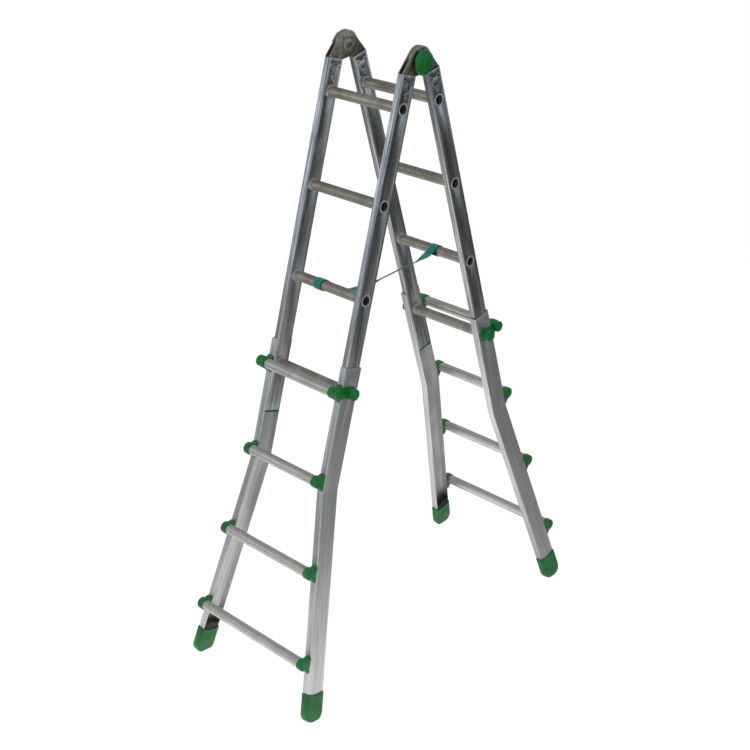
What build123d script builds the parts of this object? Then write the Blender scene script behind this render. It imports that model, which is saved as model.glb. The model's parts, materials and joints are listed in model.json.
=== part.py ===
from build123d import *
from math import cos, radians, sin, tan
import os

os.makedirs("parts", exist_ok=True)

# Telescopic multi position ladder, standing as an A-frame with both legs drawn out.
# Millimetres. +Z is up and +X runs along the rungs. The front leg leans towards -Y, the rear leg towards +Y.
# The origin is on the floor, in the middle of the four feet.
# Along a leg, "down" is measured from the hinge axis and "out" away from the inside of the A.

# Whole ladder
leg_angle = 15.8  # lean of each leg from the vertical, in degrees
rung_pitch = 280.0
rung_count = 4  # rungs in each of the four sections
first_rung_down = 144.0
stile_out = 37.0  # hinge axis to the middle of the stiles
last_rung_to_foot = 153.0  # last rung to the centre of the rounded foot

# Inner stiles: flat tubes with rounded corners
inner_half_width = 160.5  # middle of the ladder to the outer face of an inner stile
inner_stile_width = 22.0
inner_stile_depth = 58.0
inner_stile_wall = 1.8
inner_stile_corner = 5.0
inner_top_down = 48.0
inner_tail = 153.0  # below the last inner rung
plug_flange = 6.0
plug_length = 25.0
plug_clearance = 0.1

# Rungs: round tubes, swaged into the inner stiles
rung_radius = 16.0
rung_wall = 2.0
rung_hole_clearance = 0.05
swage_lip = 2.3  # how far a swage stands out from the rung
swage_outside = 0.8
swage_inside = 2.0

# Outer stiles: channels that wrap the inner stiles and flare out below the second rung
channel_web = 2.4
channel_flange = 2.4
channel_width = 24.0
channel_corner = 3.0
channel_gap_side = 1.6  # inner stile to web
channel_gap_depth = 0.8  # inner stile to flange
channel_above_rung = 76.0
kink_below_rung = 33.0
flare_angle = 9.0
bend_radius = 150.0

# Green end saddles that carry the outer rungs
saddle_wall = 3.0
saddle_base_up = 23.0  # the foot of the saddle on the channel, above and below the rung's middle
saddle_base_down = 33.0
saddle_width = 27.0
saddle_end_wall = 3.0
saddle_floor = 2.4  # flange to the underside of the barrel
top_saddle_extra = 15.0
top_saddle_groove = 2.5
rivet_radius = 3.0
rivet_head_radius = 5.0
rivet_head_height = 1.5
rivet_head_lift = 1.0  # clears the curved inside of the rung
rivet_clearance = 0.05

# Feet
foot_wall = 3.0
foot_length = 57.0  # top edge to the centre of the rounded end
foot_scallop = 5.0
foot_core_rise = 20.0
sole_cut = 3.8  # taken off the round end by the flat sole
foot_clearance = 0.1

# Telescope locks
lock_travel = 7.0
plunger_slack = 2.0  # plunger to the bore of a rung
plunger_length = 8.0
plunger_chamfer = 1.5
plunger_clearance = 0.3
plunger_park = 0.5  # parked tip to the inside of the web
housing_plate = 2.5
housing_plate_inward = 19.0  # from the middle of the plunger, towards the inside of the A
housing_plate_height = 37.0
housing_length = 14.5
housing_wall = 3.0
housing_end = 2.0
shank_radius = 4.0
shank_clearance = 0.2
knob_wall = 2.6
knob_clearance = 0.4
knob_end = 3.0
knob_flutes = 8
knob_flute_radius = 3.0
spring_wire = 0.6
spring_turns = 3
spring_end_gap = 0.66  # centre of the end turns to what they bear on
spring_inset = 4.0  # middle of the spring's wire inside the edge of the plunger

# Hinges
disc_radius = 40.0
cheek_thickness = 3.4
tongue_gap = 1.2  # tongue to cheek
arm_length = 74.0  # inside the stile
arm_clearance = 0.1
packer_clearance = 0.05
packer_start = 10.0  # below the stile's mouth
axle_radius = 8.0
axle_clearance = 0.06
boss_radius = 17.0
boss_height = 4.5
stub_radius = 6.0
hinge_rivet_radius = 4.0
hinge_rivet_head = 6.5
hinge_rivet_low_head = 0.8
hinge_rivet_dome = 2.0
hinge_rivet_slope = 30.0  # degrees
hinge_rivets = [(-15.0, 22.0), (15.0, 22.0), (0.0, 56.0)]  # out from the stile's middle, below its mouth
hinge_knob_width = 72.0
hinge_knob_height = 80.0
hinge_knob_drop = 10.0  # its middle below the hinge axis
hinge_knob_corner = 21.0
hinge_knob_thickness = 9.0
hinge_knob_chamfer = 3.0
hinge_knob_pad = 3.0
hinge_knob_pad_width = 24.0
hinge_knob_pad_height = 34.0
hinge_knob_pad_corner = 8.0
hinge_knob_skin = 2.0
hinge_lock_travel = 5.0
hinge_knob_gap = 0.4
hinge_pin_radius = 4.0
hinge_pin_circle = 25.0
hinge_pin_clearance = 0.2
hinge_pin_park = 0.4
hinge_hole_depth = 6.0
fold_stops = [-2 * leg_angle, 0.0, 180 - 2 * leg_angle]  # closed, A-frame and straight, in degrees

# Strap between the third rungs of the inner sections
strap_width = 30.0
strap_thickness = 1.6
strap_gap = 0.9
strap_sag = 38.0
strap_rung = 2
strap_x = {"front": -30.0, "rear": 15.0}

# Worked out from the sizes above
legs = {"front": -1, "rear": 1}
sides = {"left": -1, "right": 1}
swage_radius = rung_radius + swage_lip
saddle_radius = rung_radius + saddle_wall
saddle_rise = saddle_radius + saddle_floor
plunger_radius = rung_radius - rung_wall - plunger_slack
lock_spring_radius = plunger_radius - spring_inset
inner_inboard = inner_half_width - inner_stile_width
stile_middle = inner_half_width - inner_stile_width / 2
inner_rungs = [first_rung_down + i * rung_pitch for i in range(rung_count)]
outer_rungs = [inner_rungs[-1] + i * rung_pitch for i in range(rung_count)]
inner_bottom_down = inner_rungs[-1] + inner_tail
lock_down = outer_rungs[0]
web_inside = inner_half_width + channel_gap_side
web_outside = web_inside + channel_web
channel_middle = web_outside - channel_width / 2
channel_depth = inner_stile_depth + 2 * (channel_gap_depth + channel_flange)
flange_out = stile_out + channel_depth / 2
channel_top_down = outer_rungs[0] - channel_above_rung
kink_down = outer_rungs[1] + kink_below_rung
saddle_out = flange_out + saddle_rise
foot_half_depth = channel_depth / 2 + foot_wall
foot_centre_down = outer_rungs[-1] + last_rung_to_foot
lean = radians(leg_angle)
flare = radians(flare_angle)
hinge_height = (
    foot_centre_down * cos(lean) - stile_out * sin(lean) + foot_half_depth - sole_cut
)
along_x = Vector(1, 0, 0)


def down_way(leg):
    return Vector(0, legs[leg] * sin(lean), -cos(lean))


def out_way(leg):
    return Vector(0, legs[leg] * cos(lean), sin(lean))


def spot(leg, x, out, down):
    """A point on a leg."""
    return Vector(x, 0, hinge_height) + out_way(leg) * out + down_way(leg) * down


def across_stile(leg, side, x, down):
    """A plane square to a stile: its x points outboard and its y points out of the A."""
    outboard = along_x * side
    return Plane(
        origin=spot(leg, side * x, stile_out, down),
        x_dir=outboard,
        z_dir=outboard.cross(out_way(leg)),
    )


def beside_leg(leg, x, down=0.0):
    """A plane seen from the side of a leg: its x points out of the A and its y down the leg."""
    return Plane(
        origin=spot(leg, x, 0, down),
        x_dir=out_way(leg),
        z_dir=along_x * -legs[leg],
    )


def facing_x(leg, x, out, down):
    """A plane square to the rungs, for round things."""
    return Plane(origin=spot(leg, x, out, down), z_dir=along_x)


def facing_outboard(leg, side, x, out, down):
    return Plane(origin=spot(leg, side * x, out, down), z_dir=along_x * side)


def web_at(down):
    """Outer face of a channel's web, from the middle of the ladder."""
    return web_outside + max(0.0, down - kink_down) * tan(flare)


def save(part, label):
    part.label = label
    export_step(part, f"parts/{label}.step")


# Inner stiles
for leg in legs:
    for side_name, side in sides.items():
        with BuildPart() as inner_stile:
            with BuildSketch(across_stile(leg, side, stile_middle, inner_top_down)):
                RectangleRounded(inner_stile_width, inner_stile_depth, inner_stile_corner)
                RectangleRounded(
                    inner_stile_width - 2 * inner_stile_wall,
                    inner_stile_depth - 2 * inner_stile_wall,
                    inner_stile_corner - inner_stile_wall,
                    mode=Mode.SUBTRACT,
                )
            extrude(amount=inner_bottom_down - inner_top_down, dir=down_way(leg))
            for down in inner_rungs:
                with BuildSketch(facing_x(leg, side * stile_middle, stile_out, down)):
                    Circle(rung_radius + rung_hole_clearance)
                extrude(amount=inner_stile_width, both=True, mode=Mode.SUBTRACT)
            for out, below in hinge_rivets:
                with BuildSketch(
                    facing_x(leg, side * stile_middle, stile_out + out, inner_top_down + below)
                ):
                    Circle(hinge_rivet_radius + rivet_clearance)
                extrude(amount=inner_stile_width, both=True, mode=Mode.SUBTRACT)
        save(inner_stile.part, f"{leg}_inner_stile_{side_name}")

# Inner rungs, open at both ends
for leg in legs:
    for number, down in enumerate(inner_rungs, start=1):
        with BuildPart() as inner_rung:
            with BuildSketch(facing_x(leg, 0, stile_out, down)):
                Circle(rung_radius)
            extrude(amount=inner_half_width + swage_outside, both=True)
            for side in sides.values():
                with BuildSketch(facing_outboard(leg, side, inner_half_width, stile_out, down)):
                    Circle(swage_radius)
                extrude(amount=swage_outside)
                with BuildSketch(facing_outboard(leg, side, inner_inboard, stile_out, down)):
                    Circle(swage_radius)
                extrude(amount=-swage_inside)
            with BuildSketch(facing_x(leg, 0, stile_out, down)):
                Circle(rung_radius - rung_wall)
            extrude(amount=2 * inner_half_width, both=True, mode=Mode.SUBTRACT)
        save(inner_rung.part, f"{leg}_inner_rung_{number}")

# Plugs in the lower ends of the inner stiles
for leg in legs:
    with BuildPart() as end_plugs:
        for side in sides.values():
            mouth = across_stile(leg, side, stile_middle, inner_bottom_down)
            with BuildSketch(mouth):
                RectangleRounded(inner_stile_width, inner_stile_depth, inner_stile_corner)
            extrude(amount=plug_flange, dir=down_way(leg))
            with BuildSketch(mouth):
                RectangleRounded(
                    inner_stile_width - 2 * (inner_stile_wall + plug_clearance),
                    inner_stile_depth - 2 * (inner_stile_wall + plug_clearance),
                    inner_stile_corner - inner_stile_wall,
                )
            extrude(amount=plug_length, dir=down_way(leg) * -1)
    save(end_plugs.part, f"{leg}_stile_end_plugs")

# Outer stiles: channels, open inboard, bent outwards below the second rung
for leg in legs:
    for side_name, side in sides.items():
        lower_length = (foot_centre_down - kink_down) / cos(flare)
        kink = spot(leg, side * channel_middle, stile_out, kink_down)
        flare_way = down_way(leg) * cos(flare) + along_x * side * sin(flare)
        with BuildPart() as outer_stile:
            with BuildLine() as route:
                FilletPolyline(
                    spot(leg, side * channel_middle, stile_out, channel_top_down),
                    kink,
                    kink + flare_way * lower_length,
                    radius=bend_radius,
                )
            with BuildSketch(across_stile(leg, side, channel_middle, channel_top_down)) as profile:
                Rectangle(channel_width, channel_depth)
                fillet(profile.vertices().group_by(Axis.X)[-1 if side > 0 else 0], channel_corner)
                with Locations((-channel_web, 0)):
                    Rectangle(
                        channel_width, channel_depth - 2 * channel_flange, mode=Mode.SUBTRACT
                    )
            sweep(path=route.wires()[0])
            with BuildSketch(facing_x(leg, side * web_inside, stile_out, lock_down)):
                Circle(plunger_radius + plunger_clearance)
            extrude(amount=3 * channel_web, both=True, mode=Mode.SUBTRACT)
            for down in outer_rungs:
                x = side * (web_at(down) - channel_width / 2)
                rivet_plane = Plane(origin=spot(leg, x, flange_out, down), z_dir=out_way(leg))
                with BuildSketch(rivet_plane):
                    Circle(rivet_radius + rivet_clearance)
                extrude(amount=2 * channel_flange, both=True, mode=Mode.SUBTRACT)
        save(outer_stile.part, f"{leg}_outer_stile_{side_name}")

# Outer rungs
for leg in legs:
    for number, down in enumerate(outer_rungs, start=1):
        half_length = web_at(down) - saddle_end_wall
        with BuildPart() as outer_rung:
            with BuildSketch(facing_x(leg, 0, saddle_out, down)):
                Circle(rung_radius)
                Circle(rung_radius - rung_wall, mode=Mode.SUBTRACT)
            extrude(amount=half_length, both=True)
            for side in sides.values():
                x = side * (web_at(down) - channel_width / 2)
                with BuildSketch(Plane(origin=spot(leg, x, flange_out, down), z_dir=out_way(leg))):
                    Circle(rivet_radius + rivet_clearance)
                extrude(amount=saddle_rise, mode=Mode.SUBTRACT)
        save(outer_rung.part, f"{leg}_outer_rung_{number}")

# Saddles: one at each end of each outer rung
for leg in legs:
    with BuildPart() as saddles:
        for down in outer_rungs:
            for side in sides.values():
                outboard_end = web_at(down)
                inboard_end = outboard_end - saddle_width
                with BuildSketch(beside_leg(leg, side * inboard_end, down)):
                    with BuildLine():
                        CenterArc((saddle_out, 0), saddle_radius, 0, 360)
                        Line((flange_out, -saddle_base_up), (flange_out, saddle_base_down))
                    make_hull()
                extrude(amount=saddle_width, dir=along_x * side)
                if down == outer_rungs[0]:
                    neck = facing_outboard(leg, side, outboard_end, saddle_out, down)
                    with BuildSketch(neck):
                        Circle(saddle_radius - top_saddle_groove)
                    extrude(amount=top_saddle_extra)
                    with BuildSketch(neck.offset(2 * top_saddle_groove)):
                        Circle(saddle_radius - top_saddle_groove / 2)
                    extrude(amount=top_saddle_extra - 2 * top_saddle_groove)
        for down in outer_rungs:
            for side in sides.values():
                with BuildSketch(
                    facing_outboard(
                        leg, side, web_at(down) - saddle_width, saddle_out, down
                    )
                ):
                    Circle(rung_radius + rung_hole_clearance)
                extrude(amount=saddle_width - saddle_end_wall, mode=Mode.SUBTRACT)
                x = side * (web_at(down) - channel_width / 2)
                with BuildSketch(Plane(origin=spot(leg, x, flange_out, down), z_dir=out_way(leg))):
                    Circle(rivet_radius + rivet_clearance)
                extrude(amount=saddle_rise / 2, mode=Mode.SUBTRACT)
    save(saddles.part, f"{leg}_rung_saddles")

# Rivets that hold the outer rungs to the channels, with their heads inside the rungs
for leg in legs:
    with BuildPart() as rung_rivets:
        for down in outer_rungs:
            for side in sides.values():
                x = side * (web_at(down) - channel_width / 2)
                start = flange_out - channel_flange
                seat = saddle_out - (rung_radius - rung_wall) + rivet_head_lift
                with BuildSketch(Plane(origin=spot(leg, x, start, down), z_dir=out_way(leg))):
                    Circle(rivet_radius)
                extrude(amount=seat - start)
                with BuildSketch(Plane(origin=spot(leg, x, seat, down), z_dir=out_way(leg))):
                    Circle(rivet_head_radius)
                extrude(amount=rivet_head_height)
    save(rung_rivets.part, f"{leg}_rung_rivets")

# Feet: a sock round the end of each channel, with a core inside it and a flat sole
for leg in legs:
    for side_name, side in sides.items():
        flare_way = down_way(leg) * cos(flare) + along_x * side * sin(flare)
        outboard_way = along_x * side * cos(flare) - down_way(leg) * sin(flare)
        kink = spot(leg, side * channel_middle, stile_out, kink_down)
        centre = kink + flare_way * ((foot_centre_down - kink_down) / cos(flare))
        foot_width = channel_width + 2 * foot_wall
        side_view = Plane(
            origin=centre - outboard_way * (foot_width / 2),
            x_dir=out_way(leg),
            z_dir=out_way(leg).cross(flare_way),
        )
        top_view = Plane(origin=centre, x_dir=outboard_way, z_dir=outboard_way.cross(out_way(leg)))
        with BuildPart() as foot:
            with BuildSketch(side_view):
                with BuildLine():
                    half = foot_half_depth
                    Line((-half, 0), (-half, -foot_length))
                    ThreePointArc(
                        (-half, -foot_length), (0, foot_scallop - foot_length), (half, -foot_length)
                    )
                    Line((half, -foot_length), (half, 0))
                    CenterArc((0, 0), half, 0, 180)
                make_face()
            extrude(amount=foot_width, dir=outboard_way)
            with BuildSketch(top_view):
                with Locations((-channel_web / 2 - foot_clearance, 0)):
                    Rectangle(
                        channel_width - channel_web - 2 * foot_clearance,
                        channel_depth - 2 * (channel_flange + foot_clearance),
                    )
            extrude(amount=foot_length + foot_core_rise, dir=flare_way * -1)
            with BuildSketch(top_view) as pocket:
                Rectangle(channel_width + 2 * foot_clearance, channel_depth + 2 * foot_clearance)
                with Locations((-channel_web / 2 - foot_clearance, 0)):
                    Rectangle(
                        channel_width - channel_web - 2 * foot_clearance,
                        channel_depth - 2 * (channel_flange + foot_clearance),
                        mode=Mode.SUBTRACT,
                    )
            extrude(amount=2 * foot_length, dir=flare_way * -1, mode=Mode.SUBTRACT)
            split(bisect_by=Plane.XY, keep=Keep.TOP)
        save(foot.part, f"{leg}_foot_{side_name}")

# Telescope locks: a housing on each outer stile, and a plunger with its knob that a spring pushes inboard.
# They stand pulled out and parked, with the tip of the plunger just outside the inner stile.
housing_radius = plunger_radius + plunger_clearance + housing_wall
housing_end_x = web_outside + housing_length
housing_plate_width = flange_out - stile_out + housing_plate_inward
plunger_tip_x = web_inside + plunger_park
plunger_back_x = plunger_tip_x + plunger_length
knob_rim_x = web_outside + housing_plate + hinge_knob_gap + lock_travel
knob_floor_x = housing_end_x + hinge_knob_gap + lock_travel
knob_radius = housing_radius + knob_clearance + knob_wall
for leg in legs:
    with BuildPart() as lock_housings:
        for side in sides.values():
            with BuildSketch(beside_leg(leg, side * web_outside, lock_down)):
                with Locations((flange_out - housing_plate_width / 2, 0)):
                    RectangleRounded(housing_plate_width, housing_plate_height, housing_wall)
            extrude(amount=housing_plate, dir=along_x * side)
            seat = facing_outboard(leg, side, web_outside, stile_out, lock_down)
            with BuildSketch(seat):
                Circle(housing_radius)
            extrude(amount=housing_length)
            with BuildSketch(seat):
                Circle(plunger_radius + plunger_clearance)
            extrude(amount=housing_length - housing_end, mode=Mode.SUBTRACT)
            with BuildSketch(seat):
                Circle(shank_radius + shank_clearance)
            extrude(amount=2 * housing_length, mode=Mode.SUBTRACT)
    save(lock_housings.part, f"{leg}_lock_housings")

for leg in legs:
    with BuildPart() as lock_springs:
        for side in sides.values():
            spring_start = plunger_back_x + spring_end_gap
            spring_length = housing_end_x - housing_end - spring_end_gap - spring_start
            coil = Helix(
                pitch=spring_length / spring_turns,
                height=spring_length,
                radius=lock_spring_radius,
                center=spot(leg, side * spring_start, stile_out, lock_down),
                direction=along_x * side,
            )
            with BuildSketch(Plane(origin=coil @ 0, z_dir=coil % 0)):
                Circle(spring_wire)
            sweep(path=coil, is_frenet=True)
    save(lock_springs.part, f"{leg}_lock_springs")

for leg in legs:
    for side_name, side in sides.items():
        with BuildPart() as plunger:
            with BuildSketch(facing_outboard(leg, side, plunger_tip_x, stile_out, lock_down)):
                Circle(plunger_radius)
            extrude(amount=plunger_length)
            tip = plunger.edges().sort_by(Axis.X)[0 if side > 0 else -1]
            chamfer(tip, plunger_chamfer)
            with BuildSketch(facing_outboard(leg, side, plunger_back_x, stile_out, lock_down)):
                Circle(shank_radius)
            extrude(amount=knob_floor_x + knob_end / 2 - plunger_back_x)
        save(plunger.part, f"{leg}_lock_plunger_{side_name}")

        with BuildPart() as knob:
            with BuildSketch(facing_outboard(leg, side, knob_rim_x, stile_out, lock_down)):
                Circle(knob_radius)
                with PolarLocations(knob_radius + knob_flute_radius / 2, knob_flutes):
                    Circle(knob_flute_radius, mode=Mode.SUBTRACT)
            extrude(amount=knob_floor_x + knob_end - knob_rim_x)
            with BuildSketch(facing_outboard(leg, side, knob_rim_x, stile_out, lock_down)):
                Circle(housing_radius + knob_clearance)
            extrude(amount=knob_floor_x - knob_rim_x, mode=Mode.SUBTRACT)
            with BuildSketch(facing_outboard(leg, side, knob_floor_x, stile_out, lock_down)):
                Circle(shank_radius + rivet_clearance)
            extrude(amount=knob_end / 2, mode=Mode.SUBTRACT)
        save(knob.part, f"{leg}_lock_knob_{side_name}")

# Hinges: two steel cheeks riveted in each front stile, and a tongue between them riveted in each rear stile
cavity_inboard = inner_inboard + inner_stile_wall
cavity_outboard = inner_half_width - inner_stile_wall
cheek_inboard = cavity_inboard + arm_clearance
cheek_outboard = cavity_outboard - arm_clearance - cheek_thickness
tongue_inboard = cheek_inboard + cheek_thickness + tongue_gap
arm_half_depth = inner_stile_depth / 2 - inner_stile_corner
arm_end_down = inner_top_down + arm_length
pin_angle = 90.0
tongue_outboard = cheek_outboard - tongue_gap
tongue_thickness = tongue_outboard - tongue_inboard


def hinge_plate(leg, side, inboard_x, thickness):
    """A disc round the hinge axis, with a neck and an arm that runs down inside the stile."""
    with BuildPart() as plate:
        with BuildSketch(beside_leg(leg, side * inboard_x)):
            with BuildLine():
                CenterArc((0, 0), disc_radius, 0, 360)
                shoulder_down = inner_top_down - hinge_knob_gap
                Line(
                    (stile_out - inner_stile_depth / 2, shoulder_down),
                    (stile_out + inner_stile_depth / 2, shoulder_down),
                )
            make_hull()
        extrude(amount=thickness, dir=along_x * side)
        with BuildSketch(beside_leg(leg, side * inboard_x)):
            with Locations((stile_out, (shoulder_down + arm_end_down) / 2)):
                Rectangle(2 * arm_half_depth, arm_end_down - shoulder_down)
        extrude(amount=thickness, dir=along_x * side)
        with BuildSketch(beside_leg(leg, side * inboard_x)):
            Circle(axle_radius + axle_clearance)
            for out, below in hinge_rivets:
                with Locations((stile_out + out, inner_top_down + below)):
                    Circle(hinge_rivet_radius + rivet_clearance)
        extrude(amount=thickness, dir=along_x * side, mode=Mode.SUBTRACT)
    return plate.part


def packer(leg, side, inboard_x, thickness):
    """A block that fills the stile beside the hinge plates."""
    with BuildPart() as block:
        with BuildSketch(beside_leg(leg, side * inboard_x)):
            top_down = inner_top_down + packer_start
            with Locations((stile_out, (top_down + arm_end_down) / 2)):
                Rectangle(2 * arm_half_depth, arm_end_down - top_down)
            for out, below in hinge_rivets:
                with Locations((stile_out + out, inner_top_down + below)):
                    Circle(hinge_rivet_radius + rivet_clearance, mode=Mode.SUBTRACT)
        extrude(amount=thickness, dir=along_x * side)
    return block.part


for side_name, side in sides.items():
    with BuildPart() as front_hinge:
        add(hinge_plate("front", side, cheek_inboard, cheek_thickness))
        add(hinge_plate("front", side, cheek_outboard, cheek_thickness))
        with BuildSketch(beside_leg("front", side * cheek_outboard)):
            with PolarLocations(hinge_pin_circle, 2, start_angle=pin_angle):
                Circle(hinge_pin_radius + hinge_pin_clearance)
        extrude(amount=cheek_thickness, dir=along_x * side, mode=Mode.SUBTRACT)
        packer_inboard = cheek_inboard + cheek_thickness + packer_clearance
        add(packer("front", side, packer_inboard, cheek_outboard - packer_clearance - packer_inboard))
    save(front_hinge.part, f"front_hinge_{side_name}")

    with BuildPart() as rear_hinge:
        add(hinge_plate("rear", side, tongue_inboard, tongue_thickness))
        for stop in fold_stops:
            with BuildSketch(beside_leg("front", side * tongue_outboard)):
                with PolarLocations(hinge_pin_circle, 2, start_angle=pin_angle - stop):
                    Circle(hinge_pin_radius + hinge_pin_clearance)
            extrude(amount=hinge_hole_depth, dir=along_x * -side, mode=Mode.SUBTRACT)
        packer_thickness = tongue_inboard - cavity_inboard - arm_clearance - packer_clearance
        add(packer("rear", side, cavity_inboard + arm_clearance, packer_thickness))
        add(packer("rear", side, tongue_outboard + packer_clearance, packer_thickness))
    save(rear_hinge.part, f"rear_hinge_{side_name}")

# Hinge axles: a domed boss inboard, and a stub outboard that the release knob slides on
release_face_x = inner_half_width + hinge_knob_gap + hinge_lock_travel
release_bore = hinge_knob_thickness + hinge_knob_pad - hinge_knob_skin
stub_end_x = release_face_x - hinge_lock_travel + release_bore - hinge_pin_park
with BuildPart() as axles:
    for side in sides.values():
        with BuildSketch(facing_outboard("front", side, cheek_inboard, 0, 0)):
            Circle(boss_radius)
        extrude(amount=-boss_height)
        with BuildSketch(facing_outboard("front", side, cheek_inboard, 0, 0)):
            Circle(axle_radius)
        extrude(amount=cheek_outboard + cheek_thickness - cheek_inboard)
        with BuildSketch(facing_outboard("front", side, cheek_outboard + cheek_thickness, 0, 0)):
            Circle(stub_radius)
        extrude(amount=stub_end_x - cheek_outboard - cheek_thickness)
save(axles.part, "hinge_axles")

# Rivets through the stiles and the hinge arms: domed heads inboard, low heads outboard
for leg in legs:
    with BuildPart() as hinge_rivets_part:
        for side in sides.values():
            for out, below in hinge_rivets:
                down = inner_top_down + below
                inboard = facing_outboard(leg, side, inner_inboard, stile_out + out, down)
                outboard = facing_outboard(leg, side, inner_half_width, stile_out + out, down)
                with BuildSketch(inboard):
                    Circle(hinge_rivet_radius)
                extrude(amount=inner_stile_width)
                with BuildSketch(inboard):
                    Circle(hinge_rivet_head)
                extrude(amount=-hinge_rivet_dome, taper=hinge_rivet_slope)
                with BuildSketch(outboard):
                    Circle(hinge_rivet_head)
                extrude(amount=hinge_rivet_low_head, taper=hinge_rivet_slope)
    save(hinge_rivets_part.part, f"{leg}_hinge_rivets")

# Hinge release knobs with their lock pins, parked outboard until the hinge reaches a stop
for side_name, side in sides.items():
    with BuildPart() as release_knob:
        knob_face = Plane(
            origin=Vector(side * release_face_x, 0, hinge_height - hinge_knob_drop),
            x_dir=Vector(0, 1, 0),
            z_dir=along_x * side,
        )
        with BuildSketch(knob_face) as knob_outline:
            Rectangle(hinge_knob_width, hinge_knob_height)
            chamfer(knob_outline.vertices(), hinge_knob_corner)
        extrude(amount=hinge_knob_thickness)
        outer_face = release_knob.faces().sort_by(Axis.X)[-1 if side > 0 else 0]
        chamfer(outer_face.edges(), hinge_knob_chamfer)
        with BuildSketch(knob_face.offset(hinge_knob_thickness)):
            RectangleRounded(hinge_knob_pad_width, hinge_knob_pad_height, hinge_knob_pad_corner)
        extrude(amount=hinge_knob_pad)
        with BuildSketch(facing_outboard("front", side, release_face_x, 0, 0)):
            Circle(stub_radius + hinge_pin_clearance)
        extrude(amount=release_bore, mode=Mode.SUBTRACT)
        with BuildSketch(beside_leg("front", side * release_face_x)):
            with PolarLocations(hinge_pin_circle, 2, start_angle=pin_angle):
                Circle(hinge_pin_radius + rivet_clearance)
        extrude(amount=hinge_hole_depth, dir=along_x * side, mode=Mode.SUBTRACT)
    save(release_knob.part, f"hinge_release_knob_{side_name}")

    pin_tip_x = tongue_outboard + hinge_pin_park
    with BuildPart() as lock_pins:
        with BuildSketch(beside_leg("front", side * pin_tip_x)):
            with PolarLocations(hinge_pin_circle, 2, start_angle=pin_angle):
                Circle(hinge_pin_radius)
        extrude(amount=release_face_x + hinge_hole_depth - pin_tip_x, dir=along_x * side)
    save(lock_pins.part, f"hinge_lock_pins_{side_name}")

# Strap: webbing looped round the third inner rung of each leg, with a little slack between
strap_down = inner_rungs[strap_rung]
loop_inside = rung_radius + strap_gap
loop_centres = {leg: spot(leg, strap_x[leg], stile_out, strap_down) for leg in legs}
loop_middle = loop_inside + strap_thickness / 2
span_height = loop_centres["front"].Z
span_half_length = loop_centres["rear"].Y - loop_middle
with BuildPart() as strap:
    with BuildSketch(Plane.YZ):
        with BuildLine():
            for edge_height in (strap_thickness / 2, -strap_thickness / 2):
                ThreePointArc(
                    (-span_half_length, span_height + edge_height),
                    (0, span_height + edge_height - strap_sag),
                    (span_half_length, span_height + edge_height),
                )
            for end_y in (-span_half_length, span_half_length):
                Line(
                    (end_y, span_height - strap_thickness / 2),
                    (end_y, span_height + strap_thickness / 2),
                )
        make_face()
    extrude(amount=inner_half_width, both=True)
    with BuildSketch(Plane.XY.offset(span_height)):
        with BuildLine():
            Polyline(
                (strap_x["front"] - strap_width / 2, loop_centres["front"].Y),
                (strap_x["front"] + strap_width / 2, loop_centres["front"].Y),
                (strap_x["rear"] + strap_width / 2, loop_centres["rear"].Y),
                (strap_x["rear"] - strap_width / 2, loop_centres["rear"].Y),
                close=True,
            )
        make_face()
    extrude(amount=2 * strap_sag, both=True, mode=Mode.INTERSECT)
    for leg in legs:
        with BuildSketch(Plane(origin=loop_centres[leg], z_dir=along_x)):
            Circle(loop_inside + strap_thickness)
            Circle(loop_inside, mode=Mode.SUBTRACT)
        extrude(amount=strap_width / 2, both=True)
save(strap.part, "spread_strap")
print("hinge axis height, mm:", round(hinge_height, 2))
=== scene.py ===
# %% [markdown]
# # A telescopic multi position ladder
# Two inner sections of flat tube hang from a pair of locking hinges, and each slides in an outer section of
# channel. The CAD model gives every piece its size and place. Here each piece gets its finished shape and
# its finish: mill-finished aluminium, zinc-plated steel, green moulded plastic and woven webbing.
# %% Load the frame
import json
import math

import bmesh
import bpy
from mathutils import Matrix, Vector


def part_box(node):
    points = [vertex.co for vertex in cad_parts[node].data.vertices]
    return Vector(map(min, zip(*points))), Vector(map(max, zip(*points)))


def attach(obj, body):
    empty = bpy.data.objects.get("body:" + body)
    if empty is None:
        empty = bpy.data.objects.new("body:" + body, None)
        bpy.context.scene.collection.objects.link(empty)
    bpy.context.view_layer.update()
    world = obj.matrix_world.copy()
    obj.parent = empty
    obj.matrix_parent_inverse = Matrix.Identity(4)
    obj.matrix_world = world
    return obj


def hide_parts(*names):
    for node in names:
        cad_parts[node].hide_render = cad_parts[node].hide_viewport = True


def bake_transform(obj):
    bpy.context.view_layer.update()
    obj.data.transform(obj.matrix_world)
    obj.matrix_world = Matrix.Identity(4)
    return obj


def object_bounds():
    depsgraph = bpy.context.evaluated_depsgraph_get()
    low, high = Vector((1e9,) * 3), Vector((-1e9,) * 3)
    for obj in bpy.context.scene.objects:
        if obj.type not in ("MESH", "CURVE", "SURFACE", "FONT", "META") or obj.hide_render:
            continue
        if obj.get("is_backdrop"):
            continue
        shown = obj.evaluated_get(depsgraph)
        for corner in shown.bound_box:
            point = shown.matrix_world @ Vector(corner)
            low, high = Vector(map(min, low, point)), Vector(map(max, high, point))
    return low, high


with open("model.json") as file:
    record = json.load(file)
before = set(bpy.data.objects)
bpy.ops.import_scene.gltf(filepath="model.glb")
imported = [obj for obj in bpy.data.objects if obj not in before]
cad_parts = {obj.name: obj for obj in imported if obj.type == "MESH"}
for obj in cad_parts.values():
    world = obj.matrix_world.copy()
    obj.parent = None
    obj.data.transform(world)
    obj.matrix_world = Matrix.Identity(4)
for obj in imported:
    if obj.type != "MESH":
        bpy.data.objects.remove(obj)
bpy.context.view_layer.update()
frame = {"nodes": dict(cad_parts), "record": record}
body_of_node = {
    node: body for body, nodes in frame["record"]["behaviour"]["bodies"].items() for node in nodes
}


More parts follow.
